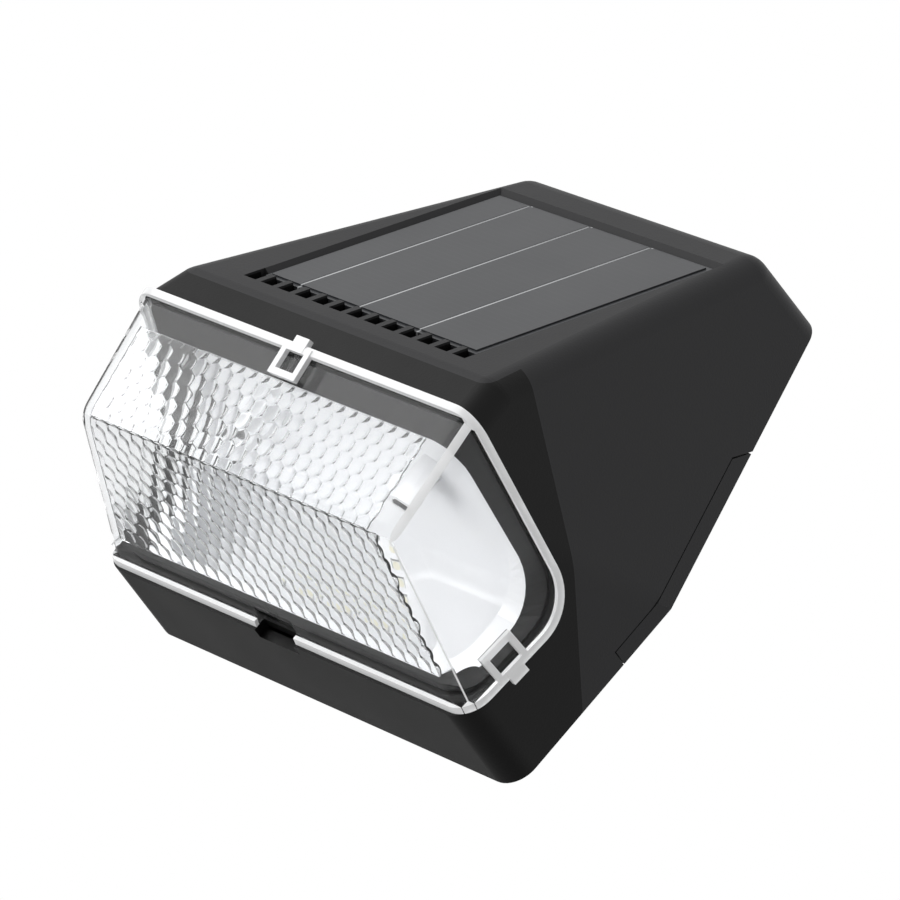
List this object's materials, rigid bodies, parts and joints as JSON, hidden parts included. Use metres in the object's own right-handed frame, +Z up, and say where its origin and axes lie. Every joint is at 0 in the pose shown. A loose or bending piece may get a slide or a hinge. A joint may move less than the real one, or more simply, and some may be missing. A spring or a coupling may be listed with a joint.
{
  "type": "solar fence light",
  "caption": "Wedge-shaped solar wall light: sloped panel over a clear dimpled lens with a white reflector, lifted off a screwed wall bracket, with a push button on the back.",
  "frame": {"origin": "middle of the back of the wall bracket's reach on the wall plane, on the lamp's middle plane and halfway up the housing", "axes": "+Z up the wall, -Y out from the wall to the lens, +X to the right seen from the front"},
  "size_m": [0.1032, 0.0569, 0.1],
  "materials": {
    "housing": "satin, finely moulded, black",
    "lens": "clear moulded acrylic, smooth with dimpled facets inside",
    "reflector": "smooth white",
    "board": "white solder mask",
    "led": "pale phosphor",
    "pad": "soft black foam",
    "panel": "pale laminate seen between the cells",
    "cell": "dark grey under a clear coat",
    "cover": "satin black",
    "rubber": "matt black",
    "screw": "black oxide",
    "cover_screw": "zinc plated",
    "bracket": "zinc plated",
    "switch": "black",
    "control": "green solder mask",
    "tray": "black",
    "battery": "blue sleeve",
    "contact": "nickel plated"
  },
  "bodies": {
    "bracket": {"wall_bracket": "bracket", "bracket_stud_left": "bracket", "bracket_stud_right": "bracket"},
    "lamp": {"housing": "housing", "lens": "lens", "reflector": "reflector", "reflector_screw_left": "screw", "reflector_screw_right": "screw", "led_board": "board", "led_1": "led", "led_2": "led", "led_3": "led", "led_4": "led", "led_5": "led", "led_6": "led", "panel_pad": "pad", "solar_panel": "panel", "cell_1": "cell", "cell_2": "cell", "cell_3": "cell", "cell_4": "cell", "rear_cover": "cover", "rear_gasket": "rubber", "cover_screw_1": "cover_screw", "cover_screw_2": "cover_screw", "cover_screw_3": "cover_screw", "cover_screw_4": "cover_screw", "button_switch": "switch", "control_board": "control", "battery_tray": "tray", "battery": "battery", "battery_contact_left": "contact", "battery_contact_right": "contact"},
    "button": {"button": "rubber"}
  },
  "joints": [
    {"name": "lift_off", "type": "slide", "parent": "bracket", "child": "lamp", "axis": [0, 0, 1], "range_m": [0, 0.009]},
    {"name": "button_press", "type": "slide", "parent": "lamp", "child": "button", "axis": [0, -1, 0], "range_m": [0, 0.001], "stiffness_N_per_m": 600}
  ]
}
